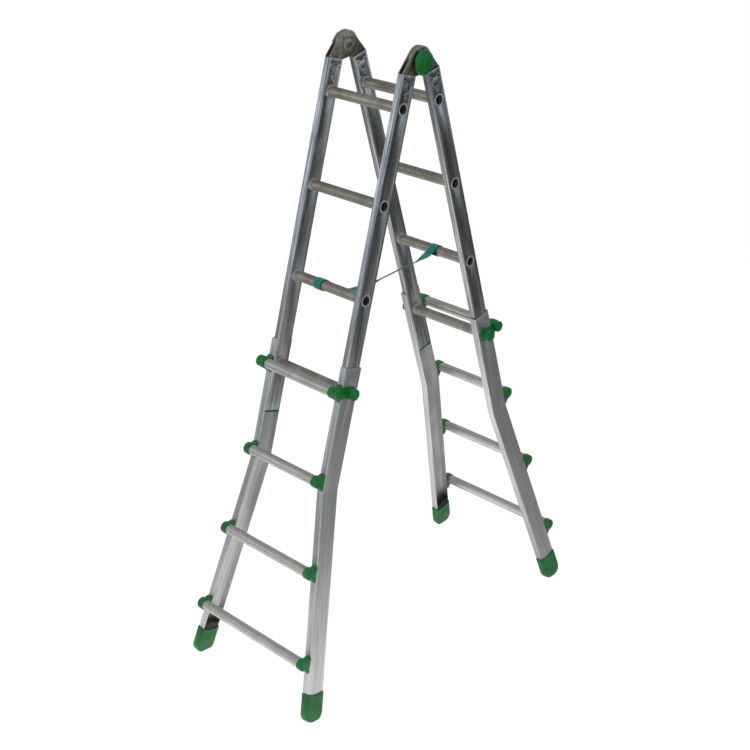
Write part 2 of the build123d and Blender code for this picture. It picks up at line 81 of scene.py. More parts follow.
def new_object(name, data):
    """An object that is in the scene."""
    thing = bpy.data.objects.new(name, data)
    bpy.context.scene.collection.objects.link(thing)
    return thing


# %% [markdown]
# ## Camera
# The ladder is seen from its front right, from well above, through a long lens. A long lens keeps the legs'
# edges nearly parallel. The camera is set by where it stands, which way it looks and its focal length, so
# that the picture can be worked out by hand. It comes before any piece.
# %% Camera
SENSOR, FOCAL_LENGTH = 36.0, 71.97  # millimetres
CAMERA_AT = Vector((3.0504, -3.0597, 2.9129))
YAW, PITCH, ROLL = (math.radians(angle) for angle in (45.23, -25.09, -0.31))
look = Vector((-math.sin(YAW) * math.cos(PITCH), math.cos(YAW) * math.cos(PITCH), math.sin(PITCH)))
level_right = Vector((math.cos(YAW), math.sin(YAW), 0))
level_up = level_right.cross(look)
right = level_right * math.cos(ROLL) + level_up * math.sin(ROLL)
up = level_up * math.cos(ROLL) - level_right * math.sin(ROLL)
camera_data = bpy.data.cameras.new("camera")
camera_data.lens, camera_data.sensor_width = FOCAL_LENGTH, SENSOR
camera_data.clip_start, camera_data.clip_end = 0.1, 50
camera = new_object("camera", camera_data)
camera.matrix_world = Matrix.Translation(CAMERA_AT) @ Matrix((right, up, -look)).transposed().to_4x4()
bpy.context.scene.camera = camera
print("camera at", [round(v, 3) for v in CAMERA_AT])

# %% [markdown]
# ## Places on a leg
# Each leg leans 15.8 degrees. Along a leg it is easier to say how far down from the hinge axis a thing is,
# and how far out of the A-frame, than to say its height. These functions go from such a place to a point
# and back. The same numbers drive the CAD model.
# %% Leg places
LEGS, SIDES = {"front": -1, "rear": 1}, {"left": -1, "right": 1}
LEAN, HINGE_HEIGHT = math.radians(15.8), 1.92363
RUNG_PITCH, RUNGS = 0.28, 4
INNER_RUNGS = [0.144 + RUNG_PITCH * i for i in range(RUNGS)]
OUTER_RUNGS = [INNER_RUNGS[-1] + RUNG_PITCH * i for i in range(RUNGS)]
LAST_RUNG_TO_FOOT = 0.153
FOOT_CENTRE = OUTER_RUNGS[-1] + LAST_RUNG_TO_FOOT
INNER_HALF_WIDTH, STILE_WIDTH, STILE_OUT = 0.1605, 0.022, 0.037
WEB_OUTSIDE, FLANGE_OUT, SADDLE_OUT = 0.1645, 0.0692, 0.0906
FLARE, KINK_DOWN = math.radians(9), 1.297


def on_leg(leg, x, out, down):
    """The point that is x along the rungs, out of the A and down the leg."""
    y = LEGS[leg] * (out * math.cos(LEAN) + down * math.sin(LEAN))
    return Vector((x, y, HINGE_HEIGHT + out * math.sin(LEAN) - down * math.cos(LEAN)))


def leg_ways(leg):
    """The directions out of the A and down the leg."""
    start = on_leg(leg, 0, 0, 0)
    return on_leg(leg, 0, 1, 0) - start, on_leg(leg, 0, 0, 1) - start


def leg_place(leg, point):
    """The x, out and down of a point."""
    y, z = LEGS[leg] * point.y, point.z - HINGE_HEIGHT
    return Vector((point.x, y * math.cos(LEAN) + z * math.sin(LEAN), y * math.sin(LEAN) - z * math.cos(LEAN)))


def flared(down):
    """How far the channels have flared out at a place down the leg. They flare below the kink."""
    return max(0.0, down - KINK_DOWN) * math.tan(FLARE)


print("outer rungs' heights", [round(on_leg("front", 0, SADDLE_OUT, d).z, 3) for d in OUTER_RUNGS])

# %% [markdown]
# ## Building materials
# A material is a small tree of nodes. One function adds a node with its settings, its links and, for a colour
# ramp, its stops. Another turns a colour written as sRGB hex, as a colour picker gives it, into the linear
# values that shaders use.
# %% Material helpers


def linear(code):
    """Linear red, green, blue and an alpha of 1 from an sRGB hex code."""
    parts = [int(code[i : i + 2], 16) / 255 for i in (0, 2, 4)]
    return (*[p / 12.92 if p <= 0.04045 else ((p + 0.055) / 1.055) ** 2.4 for p in parts], 1.0)


WHITE = linear("ffffff")


def add(tree, kind, inputs=None, stops=(), **settings):
    """Adds a node. An input is a value, an output to link, or a node whose first output is linked."""
    node = tree.nodes.new(kind)
    for key, value in settings.items():
        setattr(node, key, value)
    for key, value in (inputs or {}).items():
        value = value.outputs[0] if isinstance(value, bpy.types.Node) else value
        if isinstance(value, bpy.types.NodeSocket):
            tree.links.new(value, node.inputs[key])
        else:
            node.inputs[key].default_value = value
    elements = node.color_ramp.elements if stops else []
    while len(elements) < len(stops):
        elements.new(0.5)
    for element, (place, colour) in zip(elements, stops):
        element.position, element.color = place, colour
    return node


def start_material(name):
    """A material and its empty tree."""
    material = bpy.data.materials.new(name)
    material.use_nodes = True
    material.node_tree.nodes.clear()
    return material, material.node_tree


def end_material(tree, tone, stops, rough, bump, marks=None, **constants):
    """Ends a tree in a shader. A tone runs between two colours, and an attribute marks places in a third.

    The roughness is a number, or a pattern and the two ends it runs between. The bump is a pattern, its
    strength and its height. The constants are the shader's own."""
    colour = add(tree, "ShaderNodeValToRGB", {"Fac": tone}, [(at, linear(code)) for at, code in stops])
    if marks:
        marked = add(tree, "ShaderNodeAttribute", attribute_name=marks[0], attribute_type="GEOMETRY")
        mix = {"Factor": marked.outputs["Fac"], "A": colour.outputs[0], "B": linear(marks[1])}
        colour = add(tree, "ShaderNodeMix", mix, data_type="RGBA").outputs["Result"]
    if isinstance(rough, tuple):
        ends = {"From Min": 0.3, "From Max": 0.7, "To Min": rough[1], "To Max": rough[2]}
        rough = add(tree, "ShaderNodeMapRange", {"Value": rough[0], **ends})
    normal = add(tree, "ShaderNodeBump", {"Height": bump[0], "Strength": bump[1], "Distance": bump[2]})
    look = {"Base Color": colour, "Roughness": rough, "Normal": normal, **constants}
    shader = add(tree, "ShaderNodeBsdfPrincipled", look)
    add(tree, "ShaderNodeOutputMaterial", {"Surface": shader})


print("colour test", [round(v, 3) for v in linear("808080")])

# %% [markdown]
# ## Mill-finished aluminium
# The stiles are extrusions: hot aluminium is pushed through a die, which leaves fine lines along the whole
# length and a skin that is only half shiny. The lines have to run along each stile, also where the channel
# flares out, so the pattern reads an attribute called grain, which holds a place measured along the piece.
# A long, thin noise gives the die lines, a wide one gives the cloudy oxide, and both change the roughness too.
# Another attribute, pressed, is 1 where a tube's end has been belled: there the colour is near white, partly
# the polish of the tool and partly a painted highlight on the rim.
# %% Aluminium
LINES_ALONG, CLOUD_STRETCH = 5.0, 0.18  # line patterns in a metre along the grain, and how long clouds are


def extruded_aluminium(name, dark, light, roughness, line_mm, cloud_mm, line_bump):
    material, tree = start_material(name)
    grain = add(tree, "ShaderNodeAttribute", attribute_name="grain", attribute_type="GEOMETRY")
    thin, wide = 1000 / line_mm, 1000 / cloud_mm
    noises = []
    for scale, detail, rough in (
        ((thin, thin, LINES_ALONG), 4.0, 0.62),
        ((wide, wide, wide * CLOUD_STRETCH), 5.0, 0.55),
    ):
        at = add(tree, "ShaderNodeMapping", {"Vector": grain.outputs["Vector"], "Scale": scale})
        noise = {"Vector": at, "Scale": 1.0, "Detail": detail, "Roughness": rough}
        noises.append(add(tree, "ShaderNodeTexNoise", noise))
    lines, clouds = noises
    both = add(tree, "ShaderNodeMix", {"Factor": 0.4, "A": lines, "B": clouds}, data_type="FLOAT")
    rough, bump = (both, roughness + 0.1, roughness - 0.08), (lines, line_bump, 0.0004)
    stops = [(0.42, dark), (0.57, light)]
    # near white where a tube is belled: partly the tool's polish, partly a painted highlight
    end_material(tree, both, stops, rough, bump, ("pressed", "f4f5f5"), Metallic=1.0)
    return material


inner_aluminium = extruded_aluminium("mill_finished_tube", "9ea3a7", "e9ebec", 0.3, 6.0, 40.0, 0.2)
outer_aluminium = extruded_aluminium("mill_finished_channel", "d3d5d5", "eff0ef", 0.42, 5.0, 55.0, 0.1)
# the rungs are one tube in two copies: the inner rungs' copy is darker, painted shade high on the legs, and
# the outer rungs' copy is lighter, painted light low down near the floor
shaded_rung_aluminium = extruded_aluminium("shaded_rung_tube", "aeaa9d", "d5d1c4", 0.5, 2.0, 60.0, 0.12)
lit_rung_aluminium = extruded_aluminium("lit_rung_tube", "dddad2", "f6f5f1", 0.42, 2.0, 60.0, 0.12)
print("aluminium", inner_aluminium.name, outer_aluminium.name, "and the rungs'")

# %% [markdown]
# ## Zinc-plated steel
# The hinge plates are pressed from steel sheet and zinc-plated, which dulls to a mottled warm grey. Rivets
# and springs are plated too. A noise of a few millimetres gives the plating's blotches, and a wider one makes
# some places duller than others.
# %% Steel
WEAR_SCALE = 90.0  # worn places are about 11 mm wide


def plated_steel(name, dark, light, roughness, blotch_mm):
    material, tree = start_material(name)
    place = add(tree, "ShaderNodeTexCoord").outputs["Object"]
    noise = {"Vector": place, "Scale": 1000 / blotch_mm, "Detail": 6.0, "Roughness": 0.7}
    blotches = add(tree, "ShaderNodeTexNoise", noise)
    noise = {"Vector": place, "Scale": WEAR_SCALE, "Detail": 3.0, "Roughness": 0.5}
    wear = add(tree, "ShaderNodeTexNoise", noise)
    rough, bump = (wear, roughness - 0.1, roughness + 0.1), (blotches, 0.1, 0.0002)
    end_material(tree, blotches, [(0.32, dark), (0.68, light)], rough, bump, Metallic=1.0)
    return material


hinge_steel = plated_steel("zinc_plated_hinge_plate", "aaa599", "d0cbbf", 0.4, 9.0)
rivet_steel = plated_steel("zinc_plated_rivet", "8d8a80", "c4c1b6", 0.32, 5.0)
spring_steel = plated_steel("drawn_spring_wire", "6a6a6c", "9b9b9e", 0.3, 3.0)
print("steel", [m.name for m in (hinge_steel, rivet_steel, spring_steel)])

# %% [markdown]
# ## Moulded plastic
# The saddles, knobs and feet are injection moulded in a strong green. Polypropylene is slightly waxy, with a
# soft gloss and an even grain from the mould. The feet are a softer, duller grade. The attribute called inside
# is 1 in the hollow of a foot within the channel, and there the colour is painted nearly black: painted shade.
# The plugs in the inner stiles are a darker green.
# %% Plastic
FLOW_SCALE = 28.0  # the plastic's streaks are about 36 mm wide


def moulded_plastic(name, dark, light, roughness, grain_mm):
    material, tree = start_material(name)
    place = add(tree, "ShaderNodeTexCoord").outputs["Object"]
    noise = {"Vector": place, "Scale": FLOW_SCALE, "Detail": 3.0, "Roughness": 0.5}
    flow = add(tree, "ShaderNodeTexNoise", noise)
    noise = {"Vector": place, "Scale": 1000 / grain_mm, "Detail": 2.0, "Roughness": 0.6}
    grain = add(tree, "ShaderNodeTexNoise", noise)
    rough, bump = (flow, roughness + 0.06, roughness - 0.06), (grain, 0.25, 0.0002)
    stops = [(0.35, dark), (0.65, light)]
    # a foot's hollow, where inside is 1, is painted nearly black: painted shade
    end_material(tree, flow, stops, rough, bump, ("inside", "0d2017"), IOR=1.49)
    return material


green_plastic = moulded_plastic("moulded_green_polypropylene", "0b6429", "127a38", 0.34, 0.9)
green_rubber = moulded_plastic("moulded_green_foot", "12662f", "1a7a3a", 0.45, 1.2)
plug_plastic = moulded_plastic("moulded_dark_plug", "1c3f2c", "2c5540", 0.5, 0.9)
print("plastic", [m.name for m in (green_plastic, green_rubber, plug_plastic)])

# %% [markdown]
# ## Easing the edges
# No real edge is perfectly sharp: a saw cut is brushed, sheet is tumbled, and a mould has radii. A copy of a
# CAD node is merged into clean faces, then a Bevel modifier rounds the edges that turn by more than 30
# degrees, which catch the light. The result is kept as a plain mesh. Pieces that lie along a leg also get
# the grain attribute that the aluminium reads.
# %% Eased copies
MERGE_DISTANCE = 2e-6
SAME_FACE, BEVELLED, EASED_SHARP, SMALL_SHARP = 0.6, 30, 35, 40  # angles in degrees


def add_grain(mesh, leg):
    """Stores each point's place along its leg, following the flare of the outer stiles."""
    grain = mesh.attributes.new("grain", "FLOAT_VECTOR", "POINT")
    for vertex, value in zip(mesh.vertices, grain.data):
        x, out, down = leg_place(leg, vertex.co)
        value.vector = (abs(x) - flared(down), out, down)


def shade(mesh, degrees):
    """Shades a mesh smooth, apart from the edges that turn by more than some degrees."""
    mesh.shade_smooth()
    mesh.set_sharp_from_angle(angle=math.radians(degrees))


def mesh_of(shape, name, degrees):
    """The mesh of a built shape, with its faces outwards."""
    bmesh.ops.recalc_face_normals(shape, faces=shape.faces)
    mesh = bpy.data.meshes.new(name)
    shape.to_mesh(mesh)
    shape.free()
    shade(mesh, degrees)
    return mesh


def place_piece(name, mesh, material, node, body=None):
    """Makes an object of a mesh, gives it its finish, and lets it stand for a CAD node."""
    mesh.materials.clear()
    mesh.materials.append(material)
    piece = new_object(name, mesh)
    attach(piece, body or body_of_node[node])
    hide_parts(node)
    return piece


def as_mesh(piece):
    """The finished mesh of an object with its modifiers, and the object is removed."""
    graph = bpy.context.evaluated_depsgraph_get()
    mesh = bpy.data.meshes.new_from_object(piece.evaluated_get(graph), depsgraph=graph)
    bpy.data.objects.remove(piece)
    return mesh


def merged_copy(node):
    """The CAD shape of a node as clean faces."""
    shape = bmesh.new()
    shape.from_mesh(frame["nodes"][node].data)
    bmesh.ops.remove_doubles(shape, verts=shape.verts, dist=MERGE_DISTANCE)
    flat = math.radians(SAME_FACE)
    bmesh.ops.dissolve_limit(shape, angle_limit=flat, verts=shape.verts[:], edges=shape.edges[:])
    return shape


def ease(node, shape, width, material, segments=2):
    """Rounds the sharp edges of a shape, and lets it stand for its node."""
    mesh = bpy.data.meshes.new(node + "_shape")
    shape.to_mesh(mesh)
    shape.free()
    shade(mesh, EASED_SHARP)
    draft = new_object(node + "_draft", mesh)
    bevel = draft.modifiers.new("eased", "BEVEL")
    bevel.width, bevel.segments = width, segments
    bevel.limit_method, bevel.angle_limit = "ANGLE", math.radians(BEVELLED)
    bevel.harden_normals = False
    eased = as_mesh(draft)
    shade(eased, EASED_SHARP)
    add_grain(eased, "rear" if node.startswith("rear") else "front")
    return place_piece(node + "_finished", eased, material, node)


EASED = {  # {} stands for a side, where there is a node for each
    "inner_stile_{}": (0.0004, inner_aluminium),
    "outer_stile_{}": (0.0005, outer_aluminium),
    "stile_end_plugs": (0.0006, plug_plastic),
    "hinge_{}": (0.0005, hinge_steel),
    "lock_housings": (0.0008, green_plastic),
    "lock_plunger_{}": (0.0005, rivet_steel),
    "lock_knob_{}": (0.0009, green_plastic),
}
for leg in LEGS:
    for part, (width, material) in EASED.items():
        for node in dict.fromkeys(f"{leg}_{part.format(side)}" for side in SIDES):
            ease(node, merged_copy(node), width, material)
KNOB_NARROWER, KNOB_SHORTER = 0.94, 0.82  # the real knob is a little less than its CAD piece
for side in SIDES:
    knob, pins = f"hinge_release_knob_{side}", f"hinge_lock_pins_{side}"
    pad = merged_copy(knob)
    for vertex in pad.verts:
        vertex.co.y *= KNOB_NARROWER
        if vertex.co.z < HINGE_HEIGHT:
            vertex.co.z = HINGE_HEIGHT + (vertex.co.z - HINGE_HEIGHT) * KNOB_SHORTER
    ease(knob, pad, 0.0016, green_plastic, segments=3)
    ease(pins, merged_copy(pins), 0.0004, rivet_steel)

# %% [markdown]
# ## Feet
# A foot is a thick rubbery sock, so its corners are much rounder than an eased edge: they follow the channel's
# own corners through a 3 mm wall. The CAD foot has straight sides, so it is cut into thin slices near both
# broad faces, and each slice is drawn in along a quarter circle. Seen from the side the lower half is made
# fuller, between a circle and a square. The small edges are then eased as before.
# %% Feet
FOOT_ROUNDING, FOOT_HALF_WIDTH, FOOT_FULLNESS = 0.006, 0.015, 2.5
FOOT_CUTS = [0.0003, 0.0010, 0.0020, 0.0034, 0.0060]  # how far each slice is from a broad face
FOOT_CORE = (0.01205, 0.0305)  # half the width and depth of the room inside the channel
WEB_TO_FOOT_MIDDLE = 0.012


def foot_place(leg, side):
    """The middle of a foot, and the ways outboard, out of the A and down along the flared channel."""
    out_way, down_way = leg_ways(leg)
    along = down_way * math.cos(FLARE) + Vector((side, 0, 0)) * math.sin(FLARE)
    outboard = Vector((side, 0, 0)) * math.cos(FLARE) - down_way * math.sin(FLARE)
    kink = on_leg(leg, side * (WEB_OUTSIDE - WEB_TO_FOOT_MIDDLE), STILE_OUT, KINK_DOWN)
    return kink + along * ((FOOT_CENTRE - KINK_DOWN) / math.cos(FLARE)), outboard, out_way, along


def rounded_foot(across, out, down):
    """Where a point of the straight foot goes, as across, out and down from the foot's middle, if it moves."""
    flat = Vector((out, max(0.0, down)))
    reach = flat.length
    if reach < FOOT_ROUNDING:
        return None
    way = flat / reach
    fuller = (abs(way.x) ** FOOT_FULLNESS + way.y**FOOT_FULLNESS) ** (-1 / FOOT_FULLNESS)
    depth = min(FOOT_ROUNDING, max(0.0, FOOT_HALF_WIDTH - abs(across)))
    drawn_in = FOOT_ROUNDING - math.sqrt(FOOT_ROUNDING**2 - (FOOT_ROUNDING - depth) ** 2)
    flat = way * (reach * fuller - drawn_in)
    return across, flat.x, flat.y + min(0.0, down)


for leg in LEGS:
    for side_name, side in SIDES.items():
        node = f"{leg}_foot_{side_name}"
        centre, outboard, out_way, along = foot_place(leg, side)
        shape = merged_copy(node)
        for cut in FOOT_CUTS:
            for face_side in (-1, 1):
                at = centre + outboard * face_side * (FOOT_HALF_WIDTH - cut)
                parts = shape.verts[:] + shape.edges[:] + shape.faces[:]
                bmesh.ops.bisect_plane(shape, geom=parts, plane_co=at, plane_no=outboard)
        for vertex in shape.verts:
            place = vertex.co - centre
            rounded = rounded_foot(place.dot(outboard), place.dot(out_way), place.dot(along))
            if rounded:
                moved = centre + outboard * rounded[0] + out_way * rounded[1] + along * rounded[2]
                vertex.co = [min(max(v, low), high) for v, low, high in zip(moved, *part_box(node))]
        foot = ease(node, shape, 0.0012, green_rubber)
        # marks the hollow inside the channel, which the plastic paints nearly black as painted shade
        inside = foot.data.attributes.new("inside", "FLOAT", "FACE")
        for face, value in zip(foot.data.polygons, inside.data):
            place = face.center - centre
            within = abs(place.dot(outboard)) < FOOT_CORE[0] and abs(place.dot(out_way)) < FOOT_CORE[1]
            value.value = float(within and place.dot(along) < 0)

# %% [markdown]
# ## Plain CAD pieces inside
# The springs and the rungs' rivets are inside other pieces. Their CAD shape is right, so only a finish is
# added.
# %% Inside pieces
for leg in LEGS:
    for node, material in (("lock_springs", spring_steel), ("rung_rivets", rivet_steel)):
        inside = frame["nodes"][f"{leg}_{node}"]
        inside.data.materials.clear()
        inside.data.materials.append(material)
print("inside pieces done")

# %% [markdown]
# ## Rungs
# A rung is a drawn tube with fine ribs along it, which grip a shoe. Every rung is the same tube at another
# length, so one Geometry Nodes tree makes them all. A star with shallow points is the section: its points are
# the ribs. Curve to Mesh draws the section along a line. The tree's inputs are the length, the radius, the
# number of ribs, how deep they are and the finish. The next trees need the same start and end, so two helpers
# give them named inputs, and end them in Realize Instances and Set Material.
# %% The rung tree
SOCKETS = {"Finish": "NodeSocketMaterial", "Ribs": "NodeSocketInt"}  # the others are lengths


def new_tree(name, inputs):
    """A Geometry Nodes tree with named inputs, and the sockets that give them."""
    tree = bpy.data.node_groups.new(name, "GeometryNodeTree")
    tree.interface.new_socket("Geometry", in_out="INPUT", socket_type="NodeSocketGeometry")
    for title in inputs:
        kind = SOCKETS.get(title, "NodeSocketFloat")
        tree.interface.new_socket(title, in_out="INPUT", socket_type=kind)
    tree.interface.new_socket("Geometry", in_out="OUTPUT", socket_type="NodeSocketGeometry")
    return tree, tree.nodes.new("NodeGroupInput").outputs


def end_tree(tree, geometry, material):
    """Makes what a tree built real, and gives it its material."""
    whole = add(tree, "GeometryNodeRealizeInstances", {"Geometry": geometry})
    finish = add(tree, "GeometryNodeSetMaterial", {"Geometry": whole, "Material": material})
    add(tree, "NodeGroupOutput", {"Geometry": finish})


def run_tree(name, tree, mesh, values):
    """Runs a tree on a mesh, and returns the plain mesh that it makes."""
    draft = new_object(name + "_draft", mesh)
    modifier = draft.modifiers.new(tree.name, "NODES")
    modifier.node_group = tree
    for item in tree.interface.items_tree:
        if item.item_type == "SOCKET" and item.in_out == "INPUT" and item.name in values:
            modifier[item.identifier] = values[item.name]
    made = as_mesh(draft)
    made.name = name
    return made


TUBE_POINTS = 9  # on the line that a tube follows
rung_tree, given = new_tree("ribbed rung", ["Length", "Radius", "Ribs", "Rib Depth", "Finish"])
half = add(rung_tree, "ShaderNodeMath", {0: given["Length"], 1: 0.5}, operation="MULTIPLY")
low = add(rung_tree, "ShaderNodeMath", {0: half, 1: -1.0}, operation="MULTIPLY")
start, end = (add(rung_tree, "ShaderNodeCombineXYZ", {"X": x}) for x in (low, half))
line = add(rung_tree, "GeometryNodeCurvePrimitiveLine", {"Start": start, "End": end})
path = add(rung_tree, "GeometryNodeResampleCurve", {"Curve": line, "Count": TUBE_POINTS})
root = add(rung_tree, "ShaderNodeMath", {0: given["Radius"], 1: given["Rib Depth"]}, operation="SUBTRACT")
star = {"Points": given["Ribs"], "Inner Radius": root, "Outer Radius": given["Radius"], "Twist": 0.0}
section = add(rung_tree, "GeometryNodeCurveStar", star)
along_path = {"Curve": path, "Profile Curve": section}
skin = add(rung_tree, "GeometryNodeCurveToMesh", along_path)
end_tree(rung_tree, skin, given["Finish"])
print("rung tree", len(rung_tree.nodes), "nodes")

# %% [markdown]
# The tube is made about its own middle and then moved to its place on the leg. The tree gives the ribbed
# skin. A few rings of mesh code turn its ends in and give the tube its bore, so that it is a closed wall 2 mm
# thick. An inner rung's ends are swaged as well: the tube is belled on both faces of the stile, which shows as
# a near-white ring, partly the tool's polish and partly a painted highlight.
# %% Rungs
RUNG_RADIUS, RUNG_WALL, RIBS, RIB_DEPTH, RIB_SHARP = 0.016, 0.002, 36, 0.00045, 50
SWAGE_RADIUS, SWAGE_PROUD, SWAGE_INSIDE = 0.0183, 0.0008, 0.002
OUTER_RUNG_SHORT = 0.003  # how far an outer rung ends inside the channel's outer face
BORE = RUNG_RADIUS - RUNG_WALL


def ring_of(shape, x, radius, count, turn=0.0):
    """A ring of points round the x axis."""
    angles = [2 * math.pi * i / count + turn for i in range(count)]
    return [shape.verts.new((x, radius * math.cos(a), radius * math.sin(a))) for a in angles]


def join_rings(shape, rings, capped=False):
    """Faces between one ring and the next, and over the first and the last if they are capped."""
    for one, two in zip(rings, rings[1:]):
        for i in range(len(one)):
            j = (i + 1) % len(one)
            shape.faces.new((one[i], one[j], two[j], two[i]))
    if capped:
        shape.faces.new(rings[0])
        shape.faces.new(rings[-1])


def rung_end(half_length, inside, outside):
    """The rings from a tube's skin to its bore, each a place along it and a radius."""
    if inside is None:
        return [(half_length, BORE + 0.0003), (half_length - 0.0004, BORE)]
    return [
        (inside - SWAGE_INSIDE, RUNG_RADIUS - 0.0001),
        (inside - SWAGE_INSIDE + 0.0005, SWAGE_RADIUS - 0.0004),
        (inside - 0.0004, SWAGE_RADIUS),
        (inside, SWAGE_RADIUS - 0.0003),
        (inside, RUNG_RADIUS),
        (outside, RUNG_RADIUS),
        (outside, SWAGE_RADIUS - 0.0002),
        (outside + 0.0003, SWAGE_RADIUS),
        (outside + SWAGE_PROUD, SWAGE_RADIUS - 0.0006),
        (outside + SWAGE_PROUD, BORE + 0.0012),
        (outside + 0.0001, BORE + 0.0002),
        (outside - 0.0015, BORE),
    ]


def rung_mesh(name, finish, half_length, inside=None, outside=None):
    """A ribbed tube with its bore, belled inside and outside the stiles if it goes through them."""
    plain = half_length if inside is None else inside - SWAGE_INSIDE - 0.001
    sizes = {"Length": 2 * plain, "Radius": RUNG_RADIUS, "Ribs": RIBS, "Rib Depth": RIB_DEPTH}
    made = run_tree(name, rung_tree, bpy.data.meshes.new(name + "_blank"), {**sizes, "Finish": finish})
    shape = bmesh.new()
    shape.from_mesh(made)
    bores = []
    for end in (-1, 1):
        rim = [v for v in shape.verts if abs(v.co.x - end * plain) < 1e-5 and v.is_boundary]
        rim.sort(key=lambda v: math.atan2(v.co.z, v.co.y))
        first = math.atan2(rim[0].co.z, rim[0].co.y)
        steps = rung_end(half_length, inside, outside)
        rings = [rim] + [ring_of(shape, end * x, radius, 2 * RIBS, first) for x, radius in steps]
        join_rings(shape, rings)
        bores.append(rings[-1])
    join_rings(shape, bores)
    bmesh.ops.recalc_face_normals(shape, faces=shape.faces)
    shape.to_mesh(made)
    shape.free()
    shade(made, RIB_SHARP)
    # the belled ends are marked for their near-white colour: partly polish, partly a painted highlight
    if inside is not None:
        pressed = made.attributes.new("pressed", "FLOAT", "POINT")
        for vertex, value in zip(made.vertices, pressed.data):
            outside_bore = math.hypot(vertex.co.y, vertex.co.z) > BORE + 0.0005
            value.value = float(outside_bore and abs(vertex.co.x) > inside - SWAGE_INSIDE - 0.0005)
    return made


def place_rung(leg, node, mesh, material, out, down):
    """Carries a rung drawn about x to its place on a leg, and lets it stand for its node."""
    turn = Matrix((Vector((1, 0, 0)), *leg_ways(leg))).transposed()
    mesh.transform(Matrix.Translation(on_leg(leg, 0, out, down)) @ turn.to_4x4())
    if turn.determinant() < 0:
        mesh.flip_normals()
    add_grain(mesh, leg)
    place_piece(node + "_ribbed", mesh, material, node)


through = (INNER_HALF_WIDTH - STILE_WIDTH, INNER_HALF_WIDTH)
for leg in LEGS:
    # the inner rungs take the darker copy of the tube: painted shade
    for number, down in enumerate(INNER_RUNGS, start=1):
        node = f"{leg}_inner_rung_{number}"
        mesh = rung_mesh(node + "_ribbed", shaded_rung_aluminium, 0, *through)
        place_rung(leg, node, mesh, shaded_rung_aluminium, STILE_OUT, down)
    # the outer rungs take the lighter copy of the tube: painted light
    for number, down in enumerate(OUTER_RUNGS, start=1):
        node = f"{leg}_outer_rung_{number}"
        half_length = WEB_OUTSIDE + flared(down) - OUTER_RUNG_SHORT
        mesh = rung_mesh(node + "_ribbed", lit_rung_aluminium, half_length)
        place_rung(leg, node, mesh, lit_rung_aluminium, SADDLE_OUT, down)

# %% [markdown]
# ## Hinge axles
# Each hinge turns on a steel axle. Its inboard end is pressed to a wide, low dome, and a thin stub outboard
# carries the release knob. The outline is turned about the axle: rings of growing and shrinking radius.
# %% Hinge axles
CHEEK_INSIDE, CHEEK_OUTSIDE, AXLE_SIDES, STUB_CHAMFER = 0.1404, 0.1586, 48, 0.0008
AXLE_RADIUS, BOSS_RADIUS, BOSS_HEIGHT, STUB_RADIUS = 0.008, 0.017, 0.0045, 0.006
DOME = [  # each a part of the boss's radius, and how much of its height the dome has there
    (0.02, 1.0), (0.25, 0.98), (0.45, 0.92), (0.62, 0.83), (0.77, 0.70), (0.88, 0.52), (0.96, 0.28), (1.0, 0.0)
]
axle_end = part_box("hinge_axles")[1].x
turned = [(CHEEK_INSIDE - BOSS_HEIGHT * rise, BOSS_RADIUS * part) for part, rise in DOME]
turned += [(CHEEK_INSIDE, AXLE_RADIUS), (CHEEK_OUTSIDE, AXLE_RADIUS), (CHEEK_OUTSIDE, STUB_RADIUS)]
turned += [(axle_end - STUB_CHAMFER, STUB_RADIUS), (axle_end, STUB_RADIUS - STUB_CHAMFER)]
shape = bmesh.new()
for side in SIDES.values():
    join_rings(shape, [ring_of(shape, side * x, radius, AXLE_SIDES) for x, radius in turned], capped=True)
bmesh.ops.translate(shape, verts=shape.verts, vec=(0, 0, HINGE_HEIGHT))
mesh = mesh_of(shape, "hinge_axles_turned", SMALL_SHARP)
place_piece("hinge_axles_turned", mesh, hinge_steel, "hinge_axles")
print("axles reach", round(axle_end, 4))

# %% [markdown]
# ## Saddles
# Each outer rung ends in two green saddles: a moulded cap with a wide foot on the channel. The cap's outline
# is a circle round the rung joined to the foot by hollow flanks. The outline is drawn once, and a stack of
# outlines along the rung makes the body, drawn in a little at both ends so that the edges are round. The top
# pair is longer, with a groove and a second lobe that a hand can pull on.
# %% Saddle outline
SADDLE_RADIUS, SADDLE_WIDTH, SADDLE_END = 0.019, 0.023, 0.003
FOOT_EDGES = {-1: (0.0025, 0.023), 1: (0.003, 0.031)}  # up and down the leg: an edge's radius, and its reach
SADDLE_HOLLOW = 4.0
OUTLINE, CIRCLE, CORNER = 64, 96, 16  # points on an outline, on the circle and round a corner


def circle(count):
    return [(math.cos(2 * math.pi * i / count), math.sin(2 * math.pi * i / count)) for i in range(count)]


def hull_order(points):
    """The convex outline of flat points, in order."""
    points = sorted(set(points))

    def turns_right(a, b, c):
        return (b[0] - a[0]) * (c[1] - a[1]) - (b[1] - a[1]) * (c[0] - a[0]) <= 0

    def half(run):
        kept = []
        for p in run:
            while len(kept) > 1 and turns_right(kept[-2], kept[-1], p):
                kept.pop()
            kept.append(p)
        return kept[:-1]

    return half(points) + half(reversed(points))


def reach_to(hull, way, reach):
    """How far the hull's edge is from the middle in a direction."""
    for p, q in zip(hull, hull[1:] + hull[:1]):
        edge = (q[0] - p[0], q[1] - p[1])
        cross = way[0] * edge[1] - way[1] * edge[0]
        if abs(cross) < 1e-12:
            continue
        t = (p[0] * edge[1] - p[1] * edge[0]) / cross
        s = (p[0] * way[1] - p[1] * way[0]) / cross
        if t > 0 and -1e-6 <= s <= 1 + 1e-6:
            reach = t
    return reach


